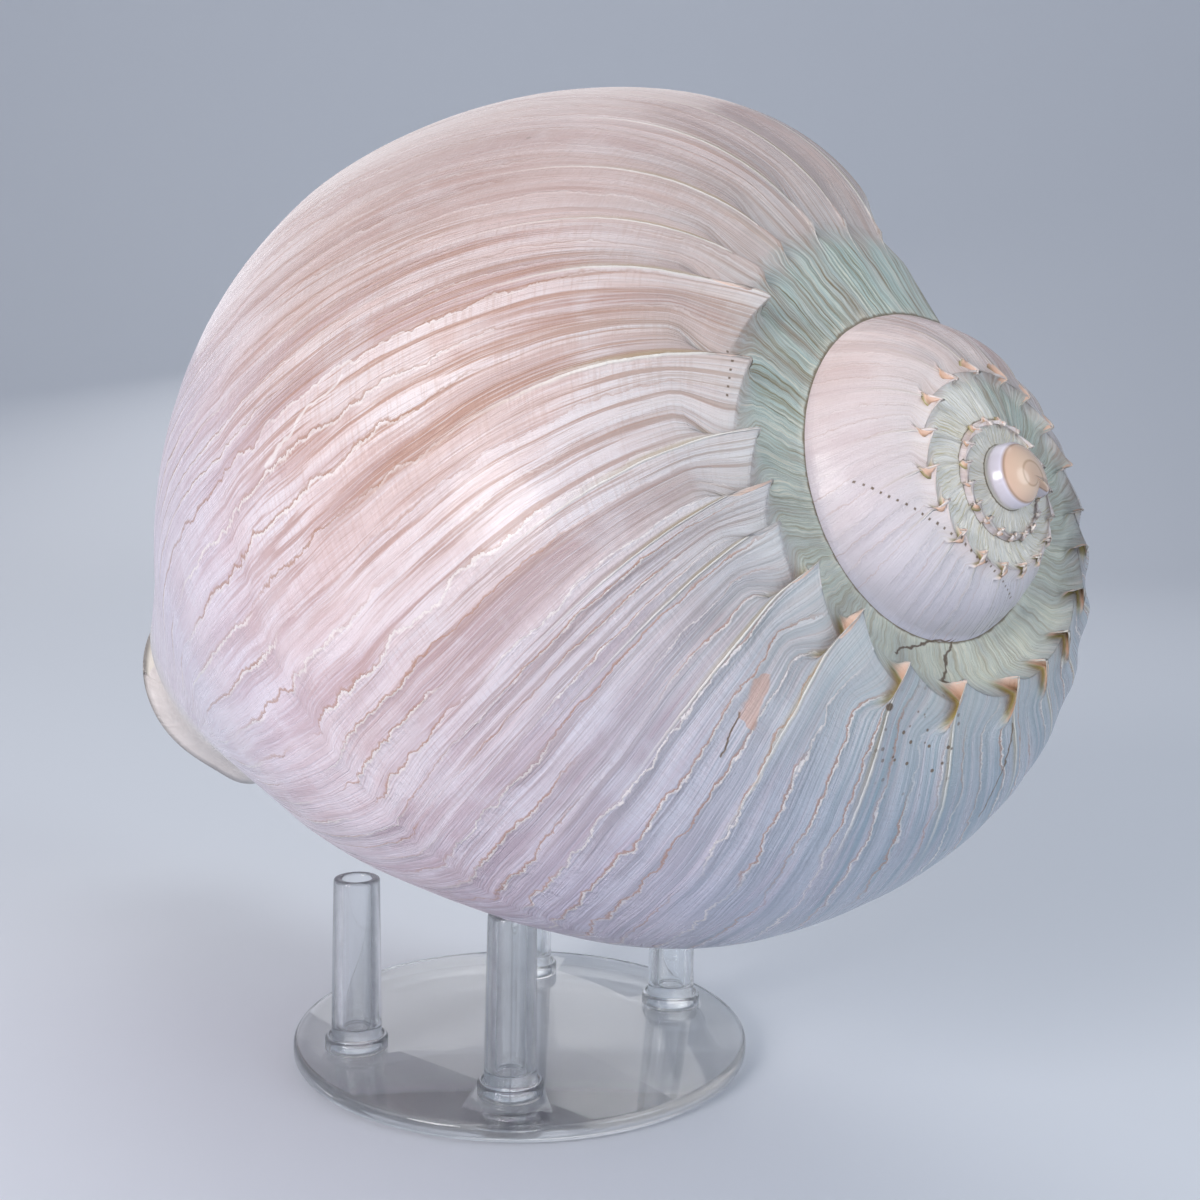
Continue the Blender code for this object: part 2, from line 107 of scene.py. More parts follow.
HANDLES = (0.473, 0.101, 0.245, 0.553)
LIP_FLARE = 0.0056
LIP_FLARE_REACH = 0.465
OLD_WHORL_WIDTH = (-0.159, -0.080)
OLD_WHORL_HEIGHT = 0.80
FAR_SIDE_START = 2.0
FAR_SIDE_SPAN = 2.4
FAR_SIDE_LONGER = 0.116
FAR_SIDE_END_WIDER = 0.326
GROWTH_LINE = (-0.937, 0.494, -0.078)
LIP_SWEEP = -0.10
SUTURE = (0.340, 0.399, -0.744)
SUTURE_LOWEST = 0.04
WALL = 0.0036
HOLLOW_DEPTH = 4.6
PILLAR_CORNER_RADIUS = 0.004
PILLAR_FOOT_RADIUS = 0.0125
PILLAR_FOOT_RISE = 0.010
PILLAR_PULL = 0.85
FOOT_START = 0.20
FOOT_RETURN = 0.56
FOOT_SCOOP = np.array([0.005, -0.004, 0.001])
LAST_WHORL_SPINES = (
    (5, 0.10), (17, 0.12), (29, 0.14), (43, 0.18), (54, 0.20), (63, 0.70), (79, 0.45),
    (95, 0.50), (106, 0.50), (114, 0.25), (126, 0.70), (141, 0.90), (160, 0.60),
    (179, 0.75), (201, 0.80), (217, 0.70), (232, 0.90), (251, 0.95), (269, 0.90),
    (283, 0.90), (302, 0.95), (321, 0.90), (340, 0.90), (358, 0.90),
)
OLD_SPINE_STEP = 20.5
OLD_SPINE_HEIGHT = 0.70
SPINE_HEIGHT = 0.0078
SPINE_LEAN = 0.55
HOOD_ON_RAMP = 0.0070
HOOD_ON_SIDE = 0.0130
OLD_HOOD_SHARE = 0.75
HOOD_MOUTH = 0.30
HOOD_OVERHANG = 0.0026
HOOD_POCKET = 0.0070
HOOD_SWELL = 1.5
COLUMNS_PER_TURN = 500
RAMP_ROWS = 14
SIDE_ROWS = 19
BODY_ROWS = 56
ROW_CLOSENESS = 1.4
LIP_ROWS_SKIPPED = 6
PILLAR_ROWS = 8
HOLLOW_RINGS = 56
CAP_RINGS = 10
FOOT_RINGS = 8
PARIETAL_GAP = 0.10
LIP_ROUND = 0.0012
PLAIT_PLACES = (1.48, 1.62, 1.76, 1.90)
PLAIT_WIDTH = 0.036
PLAIT_HEIGHT = 0.0034
TURN = 2 * math.pi


def size_at(theta):
    return FIRST_SIZE + (1 - FIRST_SIZE) * np.exp(GROWTH_RATE * theta)


def depth_at(theta):
    return FIRST_DEPTH + (SHOULDER_DEPTH - FIRST_DEPTH) * np.exp(GROWTH_RATE * DEPTH_RATE * theta)


def smooth(share):
    share = np.clip(share, 0.0, 1.0)
    return share * share * (3 - 2 * share)


def bezier(points, t):
    a, b, c, d = (np.asarray(point, float) for point in points)
    t = np.asarray(t, float)[..., None]
    s = 1 - t
    return a * s**3 + 3 * b * s * s * t + 3 * c * s * t * t + d * t**3


def outline(u):
    """Last whorl's outline: u is 0 at the shoulder, 1 at the girth and 2 at the end."""
    shoulder = np.array([SHOULDER_RADIUS, 0.0])
    girth = np.array([GIRTH_RADIUS, GIRTH_DEPTH])
    end = np.array([END_RADIUS, END_DEPTH])
    upper = np.linalg.norm(girth - shoulder)
    lower = np.linalg.norm(end - girth)
    leave = np.array([math.cos(SHOULDER_SLOPE), math.sin(SHOULDER_SLOPE)])
    arrive = np.array([math.cos(END_SLOPE), -math.sin(END_SLOPE)])
    first = bezier((shoulder, shoulder + HANDLES[0] * upper * leave,
                    girth - (0, HANDLES[1] * upper), girth), np.clip(u, 0, 1))
    second = bezier((girth, girth + (0, HANDLES[2] * lower),
                     end + HANDLES[3] * lower * arrive, end), np.clip(u - 1, 0, 1))
    return np.where((np.asarray(u) < 1)[..., None], first, second)


def section(theta, u):
    """Radius and depth of the outside at a growth stage, below the shoulder."""
    theta, u = np.broadcast_arrays(np.asarray(theta, float), np.asarray(u, float))
    age = np.clip(-(theta + TURN) / TURN, 0, 2)
    size = size_at(theta)
    point = outline(u)
    widen = 1 + OLD_WHORL_WIDTH[0] * age + OLD_WHORL_WIDTH[1] * age**2
    radius = SHOULDER_RADIUS + (point[..., 0] - SHOULDER_RADIUS) * widen
    far = smooth((-theta - FAR_SIDE_START) / FAR_SIDE_SPAN)
    radius = radius * (1 + FAR_SIDE_END_WIDER * far * np.clip(u - 1, 0, 1)**2)
    flare = LIP_FLARE * np.exp(np.minimum(theta, 0.5) / LIP_FLARE_REACH) * np.clip(u, 0, 1)
    longer = 1 + FAR_SIDE_LONGER * far * smooth((u - 0.6) / 1.4)
    depth = depth_at(theta) + size * point[..., 1] * (1 + OLD_WHORL_HEIGHT * age) * longer
    return np.stack([size * (radius + flare), depth], -1)


def growth_lag(u):
    u = np.asarray(u, float)
    return GROWTH_LINE[0] * u + GROWTH_LINE[1] * u**2 + GROWTH_LINE[2] * u**3


def suture_u(theta):
    back = np.clip(-(np.asarray(theta, float) + TURN) / TURN, 0, 2)
    return np.maximum(SUTURE[0] + SUTURE[1] * back + SUTURE[2] * back**2, SUTURE_LOWEST)


def to_world(theta, radius, depth):
    """From angle grown, radius and depth to metres in the model's frame."""
    axis = np.array([math.cos(AXIS_ELEVATION) * math.cos(AXIS_AZIMUTH),
                     math.cos(AXIS_ELEVATION) * math.sin(AXIS_AZIMUTH),
                     math.sin(AXIS_ELEVATION)])
    up = np.array([0.0, 0.0, 1.0]) - axis * axis[2]
    up /= np.linalg.norm(up)
    side = np.cross(axis, up)
    azimuth = LIP_AZIMUTH - np.asarray(theta, float)
    radius = np.asarray(radius, float)
    depth = np.asarray(depth, float)
    place = (POLE + (radius * np.cos(azimuth))[..., None] * up
             + (radius * np.sin(azimuth))[..., None] * side - depth[..., None] * axis)
    away = (place - REST_PLACE) / REST_SPREAD
    place[..., 2] += REST_LIFT * np.exp(-np.sum(away**2, -1) / 2)
    return place


def inside(theta, below):
    """Radius and depth of the wall's inner face; below runs from the ramp to the end."""
    below = np.asarray(below, float)
    theta = np.broadcast_to(np.asarray(theta, float), below.shape)
    ramp = section(theta - TURN, suture_u(theta - TURN))
    shoulder = section(theta, 0.0)
    thickness = (WALL * size_at(theta)**0.7)[..., None]
    on_ramp = np.clip(1 + below, 0, 1)[..., None]
    step = 0.02
    outer = np.where(below[..., None] < 0, ramp + (shoulder - ramp) * on_ramp,
                     section(theta, np.maximum(below, 0)))
    ahead = section(theta, np.clip(below, 0, 2) + step) - section(theta, np.clip(below, 0, 2))
    last = section(theta, 2.0) - section(theta, 2.0 - step)
    ahead = np.where(below[..., None] > 2 - step, last, ahead)
    ahead = ahead / np.linalg.norm(ahead, axis=-1, keepdims=True)
    along = (shoulder - ramp) / np.linalg.norm(shoulder - ramp, axis=-1, keepdims=True)
    share = smooth((below + 0.12) / 0.24)[..., None]
    ahead = along + (ahead - along) * share
    ahead = ahead / np.linalg.norm(ahead, axis=-1, keepdims=True)
    normal = np.stack([ahead[..., 1], -ahead[..., 0]], -1)
    return outer - normal * thickness


def chain(outer, inner, corner, share):
    """Radius and depth from the end of a whorl across the floor and up the pillar."""
    outer, inner, corner = (np.asarray(point, float) for point in (outer, inner, corner))
    near_outer = outer + PILLAR_PULL * (corner - outer)
    near_inner = inner + PILLAR_PULL * (corner - inner)
    return bezier((outer, near_outer, near_inner, inner), share)


def pillar_corner(theta):
    end = section(theta, 2.0)
    return np.array([PILLAR_CORNER_RADIUS * size_at(theta), end[1] * 0.965])


class Wall:
    """Collects the shell's points and faces, with growth coordinates on every corner."""

    def __init__(self):
        self.points = []
        self.growth = []
        self.marks = []
        self.faces = []
        self.corners = []

    def add(self, position, growth, marks=(0.0, 0.0, 0.0, 0.0)):
        """Marks are inside, first cap, face of a hood's mouth, depth in a hood's pocket."""
        self.points.append(tuple(position))
        self.growth.append(growth)
        self.marks.append(marks)
        return len(self.points) - 1

    def face(self, ids, growths=None):
        growths = growths or [self.growth[point] for point in ids]
        kept = [k for k in range(len(ids)) if ids[k] != ids[k - 1]]
        if len(kept) > 2:
            self.faces.append([ids[k] for k in kept])
            self.corners += [growths[k] for k in kept]

    def strip(self, first, second):
        """Join two runs of points, whatever their counts, advancing by share of length."""
        a = b = 0
        while a < len(first) - 1 or b < len(second) - 1:
            next_a = (a + 1) / (len(first) - 1) if a < len(first) - 1 else 2.0
            next_b = (b + 1) / (len(second) - 1) if b < len(second) - 1 else 2.0
            if abs(next_a - next_b) < 1e-9:
                self.face([first[a], first[a + 1], second[b + 1], second[b]])
                a += 1
                b += 1
            elif next_a < next_b:
                self.face([first[a], first[a + 1], second[b]])
                a += 1
            else:
                self.face([first[a], second[b + 1], second[b]])
                b += 1

    def mesh(self, name):
        mesh = bpy.data.meshes.new(name)
        mesh.from_pydata(self.points, [], self.faces)
        layer = mesh.uv_layers.new(name="growth")
        layer.data.foreach_set("uv", np.array(self.corners, np.float32).ravel())
        for k, mark in enumerate(("inner", "first_cap", "hood_mouth", "hood_depth")):
            values = mesh.attributes.new(mark, "FLOAT", "POINT")
            values.data.foreach_set("value", np.array(self.marks, np.float32)[:, k])
        for k, mark in enumerate(("grown", "down")):
            values = mesh.attributes.new(mark, "FLOAT", "POINT")
            values.data.foreach_set("value", np.array(self.growth, np.float32)[:, k])
        work = bmesh.new()
        work.from_mesh(mesh)
        bmesh.ops.recalc_face_normals(work, faces=work.faces)
        work.to_mesh(mesh)
        work.free()
        mesh.shade_smooth()
        return mesh


def hood_stages(angles):
    """For each column: the rims before and after it, and how far it lies between them."""
    spines = [(-math.radians(back), share) for back, share in LAST_WHORL_SPINES]
    back = LAST_WHORL_SPINES[-1][0] + OLD_SPINE_STEP
    while math.radians(back) < COIL_LENGTH + 0.4:
        spines.append((-math.radians(back), OLD_SPINE_HEIGHT))
        back += OLD_SPINE_STEP
    spines = sorted(spines) + [(math.radians(9), 0.10)]
    rims = np.array([angle for angle, share in spines])
    shares = np.array([share for angle, share in spines])
    after = np.searchsorted(rims, angles, side="right")
    span = rims[after] - rims[after - 1]
    return (angles - rims[after - 1]) / span, span, shares[after - 1], shares[after], after


def build_shell():
    wall = Wall()
    pitch = TURN / COLUMNS_PER_TURN
    suture_shift = int(round(-growth_lag(SUTURE[0]) / pitch))
    turn = COLUMNS_PER_TURN - suture_shift
    last = int(round(COIL_LENGTH / pitch))
    angles = (np.arange(last + 1) - last) * pitch
    phase, span, share_before, share_after, number = hood_stages(angles)
    grown = number + phase
    shoulder_row = RAMP_ROWS
    suture_row = RAMP_ROWS + SIDE_ROWS
    end_row = suture_row + BODY_ROWS
    first_full = last - turn
    ramp_share = 1 - (1 - np.arange(RAMP_ROWS) / RAMP_ROWS)**ROW_CLOSENESS

    # The outside, column by column: ramp, shoulder, side, and the body where it shows
    rows = []
    places = []
    downs = []
    for column, theta in enumerate(angles):
        size = float(size_at(theta))
        edge_u = float(suture_u(theta))
        us = np.concatenate([edge_u * np.linspace(0, 1, SIDE_ROWS + 1)**ROW_CLOSENESS,
                             np.linspace(edge_u, 2, BODY_ROWS + 1)[1:]])
        sweep = LIP_SWEEP * np.clip(us - 0.5, 0, 2)**2 * math.exp(theta / 0.5)
        body_angle = theta + growth_lag(us) + sweep
        body = section(body_angle, us)
        if column < turn:
            share = column / turn
            goal = section(angles[0] + growth_lag(suture_u(angles[0])), suture_u(angles[0]))
            start = np.array([theta, CAP_RADIUS + (goal[0] - CAP_RADIUS) * share**2,
                              CAP_BASE + (goal[1] - CAP_BASE) * share**2])
        else:
            start = places[column - turn][suture_row] + (TURN, 0, 0)
        top = np.array([theta, *body[0]])
        spots = np.concatenate([start + (top - start) * ramp_share[:, None],
                                np.column_stack([body_angle, body])])
        away = spots[:, 1:] - top[1:]
        reach = np.hypot(away[:, 0], away[:, 1])
        limit = np.where(np.arange(len(spots)) < shoulder_row, HOOD_ON_RAMP, HOOD_ON_SIDE) * size
        limit = limit * (1 if theta > -TURN else OLD_HOOD_SHARE)
        weight = smooth(1 - reach / limit)
        weight[0] = 0
        before, after = share_before[column], share_after[column]
        width = float(span[column])
        rim = theta - phase[column] * width
        forward = HOOD_OVERHANG * size / top[1]
        pocket = HOOD_POCKET * size / top[1]
        if phase[column] < HOOD_MOUTH:
            deep = phase[column] / HOOD_MOUTH
            goal_angle = rim + forward * before * (1 - deep) - pocket * before * deep
            lift = before * (1 - deep)**1.2
            mouth, depth = min(1.0, before) * min(1.0, 6 * deep), before * deep
        else:
            forth = (phase[column] - HOOD_MOUTH) / (1 - HOOD_MOUTH)
            goal_angle = (rim - pocket * before
                          + forth * (width + forward * after + pocket * before))
            lift = after * forth**HOOD_SWELL
            mouth, depth = 0.0, before * max(0.0, 1 - forth / 0.18)
        spots[:, 0] += weight * (goal_angle - theta)
        rise = SPINE_HEIGHT * size * lift * weight**1.8
        spots[:, 1] -= SPINE_LEAN * rise
        spots[:, 2] -= rise
        places.append(spots)
        down = np.concatenate([ramp_share - 1, us])
        downs.append(down)
        last_row = end_row if column >= first_full else suture_row
        if column >= turn:
            ids = [rows[column - turn][suture_row]]
            begin = 1
        else:
            ids = []
            begin = 0
        world = to_world(*spots[begin:last_row + 1].T)
        for row, position in zip(range(begin, last_row + 1), world):
            marks = (0.0, 0.0, mouth * weight[row], depth * weight[row])
            ids.append(wall.add(position, (grown[column], down[row]), marks))
        rows.append(ids)
    for column in range(last):
        count = min(len(rows[column]), len(rows[column + 1]))
        for row in range(count - 1):
            corners = [(column, row), (column + 1, row), (column + 1, row + 1), (column, row + 1)]
            wall.face([rows[c][r] for c, r in corners],
                      [(grown[c], downs[c][r]) for c, r in corners])

    # The smooth first cap closes the start of the coil
    loop = [rows[column][0] for column in range(turn + 1)]
    loop += [rows[0][row] for row in range(suture_row - 1, -1, -1)]
    loop_spots = [places[column][0] for column in range(turn)]
    loop_spots.append(places[0][suture_row])
    loop_spots += [places[0][row] for row in range(suture_row - 1, -1, -1)]
    for ring in range(1, CAP_RINGS + 1):
        share = 1 - ring / (CAP_RINGS + 1)
        bulge = 1 - math.sqrt(1 - share**2)
        inner = [wall.add(to_world(angle, radius * share, CAP_TOP + (depth - CAP_TOP) * bulge),
                          (grown[0], -0.5), (0.0, ring / (CAP_RINGS + 1), 0.0, 0.0))
                 for angle, radius, depth in loop_spots[:-1]]
        inner.append(inner[0])
        wall.strip(loop, inner)
        loop = inner
    centre = wall.add(to_world(0.0, 0.0, CAP_TOP), (grown[0], -0.5), (0.0, 1.0, 0.0, 0.0))
    for first, second in zip(loop, loop[1:]):
        wall.face([first, second, centre])

    # The lip's rounded edge, then the ring of points round the mouth
    hollow = (1.0, 0.0, 0.0, 0.0)
    first_lip = LIP_ROWS_SKIPPED
    belows = downs[last][first_lip:end_row + 1]
    lip_lag = growth_lag(np.maximum(belows, 0)) + LIP_SWEEP * np.clip(belows - 0.5, 0, 2)**2
    inner_lip = inside(lip_lag, belows)
    outer_lip = rows[last][first_lip:]
    outer_spots = places[last][first_lip:]
    previous = outer_lip
    for share in (0.12, 0.5, 0.88, 1.0):
        push = LIP_ROUND * math.sqrt(max(0.0, 1 - (2 * share - 1)**2))
        spot = outer_spots[:, 1:] + (inner_lip - outer_spots[:, 1:]) * share
        angle = outer_spots[:, 0] + (lip_lag - outer_spots[:, 0]) * share + push / spot[:, 0]
        world = to_world(angle, spot[:, 0], spot[:, 1])
        ids = [wall.add(position, (grown[last], down), (share, 0.0, 0.0, 0.0))
               for position, down in zip(world, belows)]
        wall.strip(previous, ids)
        for row in range(first_lip if share < 0.2 else 0):
            wall.face([rows[last][row], rows[last][row + 1], ids[0]])
        if share > 0.2:
            wall.face([rows[last][0], previous[0], ids[0]])
        previous = ids
    lip_ids = previous
    old = rows[first_full]
    old_spot = places[first_full][end_row]
    shares = np.linspace(0, 1, PILLAR_ROWS + 1)
    floor = chain(inner_lip[-1], old_spot[1:], pillar_corner(0.0), shares[1:-1])
    floor_angle = lip_lag[-1] + (old_spot[0] + TURN - lip_lag[-1]) * shares[1:-1]
    floor_ids = [wall.add(position, (grown[last], 2.0), hollow)
                 for position in to_world(floor_angle, floor[:, 0], floor[:, 1])]
    mouth = lip_ids + floor_ids + [old[row] for row in range(end_row, suture_row, -1)]
    wall.face([rows[last][0], lip_ids[0], old[suture_row + 1]])

    # The hollow winds back from the mouth and ends blind
    previous = mouth + [mouth[0]]
    for depth in HOLLOW_DEPTH * np.linspace(0, 1, HOLLOW_RINGS + 1)[1:]:
        theta = -depth
        sweep = LIP_SWEEP * np.clip(belows - 0.5, 0, 2)**2 * math.exp(theta / 0.5)
        lag = growth_lag(np.maximum(belows, 0)) + sweep
        outer = inside(theta + lag, belows)
        low = float(suture_u(theta - TURN)) + PARIETAL_GAP
        us = np.linspace(2, low, end_row - suture_row)
        inner_angle = theta + growth_lag(us) + suture_shift * pitch
        inner = section(inner_angle - TURN, us)
        plaits = sum(np.exp(-((us - place) / PLAIT_WIDTH)**2) for place in PLAIT_PLACES)
        inner[:, 0] += PLAIT_HEIGHT * size_at(theta) * plaits * min(1.0, depth / 0.3)
        floor = chain(outer[-1], inner[0], pillar_corner(theta), shares[1:-1])
        floor_angle = theta + lag[-1] + (inner_angle[0] - theta - lag[-1]) * shares[1:-1]
        angle = np.concatenate([theta + lag, floor_angle, inner_angle])
        spot = np.concatenate([outer, floor, inner])
        level = np.concatenate([belows, np.full(len(floor), 2.0), us])
        stage = grown[last] + theta / TURN * 20
        ring = [wall.add(position, (stage, down), hollow)
                for position, down in zip(to_world(angle, spot[:, 0], spot[:, 1]), level)]
        ring.append(ring[0])
        wall.strip(previous, ring)
        previous = ring
    centre = wall.add(np.mean([wall.points[point] for point in previous[:-1]], axis=0),
                      (stage, 1.0), hollow)
    for first, second in zip(previous, previous[1:]):
        wall.face([first, second, centre])

    # The pillar's outside, from the end of each stage down to its foot
    tip = rows[last][end_row]
    tip_spot = places[last][end_row]
    previous = [old[end_row]] + floor_ids[::-1] + [lip_ids[-1], tip]
    foot_loop = [tip]
    for column in range(first_full + 1, last):
        share = (column - first_full) / turn
        top = places[column][end_row]
        spread = (smooth(1 - share / FOOT_START)**2
                  + smooth((share - FOOT_RETURN) / (1 - FOOT_RETURN))**2)
        foot_radius = PILLAR_FOOT_RADIUS + (tip_spot[1] - PILLAR_FOOT_RADIUS) * spread
        foot_depth = tip_spot[2] - PILLAR_FOOT_RISE * (1 - spread)
        foot_angle = angles[column] - 0.70 + 0.25 * share
        steps = np.linspace(1, 0, PILLAR_ROWS + 3)[1:]
        corner = np.array([foot_radius * 0.75, foot_depth - 0.03 * (1 - share)])
        spots = chain((foot_radius, foot_depth), top[1:], corner, steps)
        spot_angle = foot_angle + (top[0] - foot_angle) * steps
        ids = [rows[column][end_row]]
        ids += [wall.add(position, (grown[column], 2 + 0.3 * (1 - step)), (0.0, 0.0, 0.0, 0.0))
                for position, step in zip(to_world(spot_angle, spots[:, 0], spots[:, 1]), steps)]
        wall.strip(ids, previous)
        foot_loop.append(ids[-1])
        previous = ids
    for first, second in zip(previous, previous[1:]):
        wall.face([first, second, tip])
    rim = np.array([wall.points[point] for point in foot_loop])
    middle = rim.mean(axis=0)
    loop = foot_loop + [tip]
    for ring in range(1, FOOT_RINGS + 1):
        share = 1 - ring / (FOOT_RINGS + 1)
        world = middle + (rim - middle) * share + FOOT_SCOOP * (1 - share**2)
        inner = [wall.add(position, wall.growth[point], (0.6, 0.0, 0.0, 0.0))
                 for position, point in zip(world, foot_loop)]
        inner.append(inner[0])
        wall.strip(loop, inner)
        loop = inner
    centre = wall.add(middle + FOOT_SCOOP, (grown[last], 2.3), (0.6, 0.0, 0.0, 0.0))
    for first, second in zip(loop, loop[1:]):
        wall.face([first, second, centre])
    return wall.mesh("grown_shell")


shell = bpy.data.objects.new("grown_shell", build_shell())
bpy.context.scene.collection.objects.link(shell)


class Flow:
    """A socket with Python's arithmetic: each operator adds the Math node that does it."""

    def __init__(self, tree, socket):
        self.tree = tree
        self.socket = socket

    def node(self, kind, settings=None, **inputs):
        """Add a node, set what it is first, then give its sockets values or links."""
        made = self.tree.nodes.new(kind)
        for setting, value in (settings or {}).items():
            if setting == "stops":
                ramp = made.color_ramp
                while len(ramp.elements) < len(value):
                    ramp.elements.new(0.5)
                for element, (place, colour) in zip(ramp.elements, value):
                    element.position = place
                    element.color = (*colour, 1.0)
            else:
                setattr(made, setting, value)
        for name, value in inputs.items():
            key = int(name[1:]) if name[1:].isdigit() else name.replace("_", " ")
            target = made.inputs[key]
            if isinstance(value, Flow):
                self.tree.links.new(value.socket, target)
            else:
                target.default_value = value
        return made

    def made(self, kind, settings=None, output=0, **inputs):
        return Flow(self.tree, self.node(kind, settings, **inputs).outputs[output])

    def maths(self, operation, *values):
        inputs = {f"i{k}": value for k, value in enumerate(values)}
        return self.made("ShaderNodeMath", {"operation": operation}, **inputs)

    def __add__(self, other):
        return self.maths("ADD", self, other)

    def __sub__(self, other):
        return self.maths("SUBTRACT", self, other)

    def __rsub__(self, other):
        return self.maths("SUBTRACT", other, self)

    def __mul__(self, other):
        return self.maths("MULTIPLY", self, other)

    def __truediv__(self, other):
        return self.maths("DIVIDE", self, other)

    def __pow__(self, other):
        return self.maths("POWER", self, other)

    __radd__ = __add__
    __rmul__ = __mul__

    def fraction(self):
        return self.maths("FRACT", self)

    def floor(self):
        return self.maths("FLOOR", self)

    def above(self, low, high):
        """0 below low, 1 above high, and smooth between them."""
        return self.made("ShaderNodeMapRange", {"interpolation_type": "SMOOTHSTEP"},
                         i0=self, i1=low, i2=high)

    def below(self, low, high):
        """1 below low, 0 above high, and smooth between them."""
        return self.made("ShaderNodeMapRange", {"interpolation_type": "SMOOTHSTEP"},
                         i0=self, i1=high, i2=low)

    def point(self, x=0.0, y=0.0, z=0.0):
        return self.made("ShaderNodeCombineXYZ", i0=x, i1=y, i2=z)

    def noise(self, x=0.0, y=0.0, z=0.0, detail=2.0, roughness=0.5):
        """Noise at a point given by its three numbers, about 0 to 1."""
        return self.made("ShaderNodeTexNoise", {"noise_dimensions": "3D"},
                         Vector=self.point(x, y, z), Scale=1.0, Detail=detail,
                         Roughness=roughness)

    def blend(self, other, share):
        """This colour, going over to another by a share."""
        made = self.node("ShaderNodeMix", {"data_type": "RGBA"})
        for key, value in ((0, share), (6, self), (7, other)):
            if isinstance(value, Flow):
                self.tree.links.new(value.socket, made.inputs[key])
            elif key == 0:
                made.inputs[key].default_value = value
            else:
                made.inputs[key].default_value = (*value, 1.0)
        return Flow(self.tree, made.outputs[2])


# The shell's surface. Wide bands swell and sink with the growth, shallow flutes run down from
# between the hoods, and low folds cross the ramp where each new stage of lip was laid down.

BAND_HEIGHT = 0.0010
FLUTE_HEIGHT = 0.0005
FOLD_HEIGHT = 0.00030
WEAR = 0.0006


def weathering_tree():
    tree = bpy.data.node_groups.new("weathered_growth", "GeometryNodeTree")
    tree.is_modifier = True
    face = tree.interface
    face.new_socket("Geometry", in_out="INPUT", socket_type="NodeSocketGeometry")
    for name, value in (("Band height", BAND_HEIGHT), ("Flute height", FLUTE_HEIGHT),
                        ("Fold height", FOLD_HEIGHT), ("Wear", WEAR), ("Seed", 4.0)):
        socket = face.new_socket(name, in_out="INPUT", socket_type="NodeSocketFloat")
        socket.default_value = value
    face.new_socket("Shell", in_out="INPUT", socket_type="NodeSocketMaterial")
    face.new_socket("Geometry", in_out="OUTPUT", socket_type="NodeSocketGeometry")
    entry = tree.nodes.new("NodeGroupInput")
    given = {socket.name: Flow(tree, socket) for socket in entry.outputs}
    start = given["Geometry"]

    def mark(name):
        return start.made("GeometryNodeInputNamedAttribute", {"data_type": "FLOAT"}, Name=name)

    grown = mark("grown")
    down = mark("down")
    outside = 1 - mark("inner").above(0.0, 0.3)
    outside = outside * mark("first_cap").below(0.0, 0.1)
    outside = outside * mark("hood_mouth").below(0.1, 0.5) * down.below(1.70, 1.95)
    seed = given["Seed"]
    wander = start.noise(grown * 1.3, down * 3.0, seed, detail=2.0) - 0.5
    on_body = down.above(-0.02, 0.10) * (1 - down.above(1.55, 1.95) * 0.6)
    on_ramp = down.above(-0.97, -0.8) * down.below(-0.15, 0.0)
    band = start.noise(grown * 1.1, down * 1.3, seed + 11.0) - 0.5
    flute = start.maths("COSINE", (grown + wander * 0.35) * TURN)
    flute = flute * down.above(0.0, 0.06) * down.below(0.05, 0.40)
    flute = flute * (0.15 + grown.above(30.0, 34.0) * 0.85)
    fold = start.noise((grown + wander * 0.2) * 7.0, down * 1.6, seed + 5.0) - 0.5
    relief = (given["Band height"] * band * on_body + given["Flute height"] * flute
              + given["Fold height"] * fold * on_ramp * 2.0 - given["Wear"])
    normal = start.made("GeometryNodeInputNormal")
    offset = start.made("ShaderNodeVectorMath", {"operation": "SCALE"}, i0=normal,
                        Scale=relief * outside)
    moved = start.made("GeometryNodeSetPosition", Geometry=start, Offset=offset)
    real = start.made("GeometryNodeRealizeInstances", Geometry=moved)
    dressed = start.made("GeometryNodeSetMaterial", Geometry=real, Material=given["Shell"])
    leave = tree.nodes.new("NodeGroupOutput")
    tree.links.new(dressed.socket, leave.inputs[0])
    return tree


# What time and borers did to it. The wall grew in plates that end in thin ragged edges. A
# cluster of pin holes, two rows of bored dots, a few hairline cracks and a chip mark the back.

PLATES_PER_HOOD = 3.2
LAST_WHORL_START = (31.3, 32.6)
PIN_HOLES = (0.0657, -0.0989, 0.0888)
PIN_HOLES_REACH = 0.012
WORM_HOLES = ((0.0594, -0.1020, 0.0952), (0.0607, -0.1028, 0.0947))
BORED_ROWS = (
    ((0.0534, -0.0954, 0.1288), (0.0754, -0.0948, 0.1169)),
    ((0.0754, -0.0948, 0.1169), (0.0817, -0.0868, 0.1100)),
    ((0.0349, -0.0928, 0.1488), (0.0346, -0.0984, 0.1411)),
)
BORED_STEP = 0.0014
SHELL_MIDDLE = (-0.006, -0.010, 0.110)
CRACKS = (
    ((0.0368, -0.1088, 0.0948), (0.0341, -0.1078, 0.0879)),
    ((0.0826, -0.0880, 0.0901), (0.0820, -0.0856, 0.0831)),
    ((0.0820, -0.0856, 0.0831), (0.0792, -0.0811, 0.0728)),
    ((0.0623, -0.0978, 0.1025), (0.0724, -0.0870, 0.1035)),
    ((0.0734, -0.0863, 0.1034), (0.0708, -0.0949, 0.0983)),
)
CHIP = ((0.0397, -0.1086, 0.1005), (0.0382, -0.1090, 0.0935))
FLAKED_EDGE = ((-0.0252, -0.0839, 0.1444), (-0.0401, -0.0776, 0.1282))


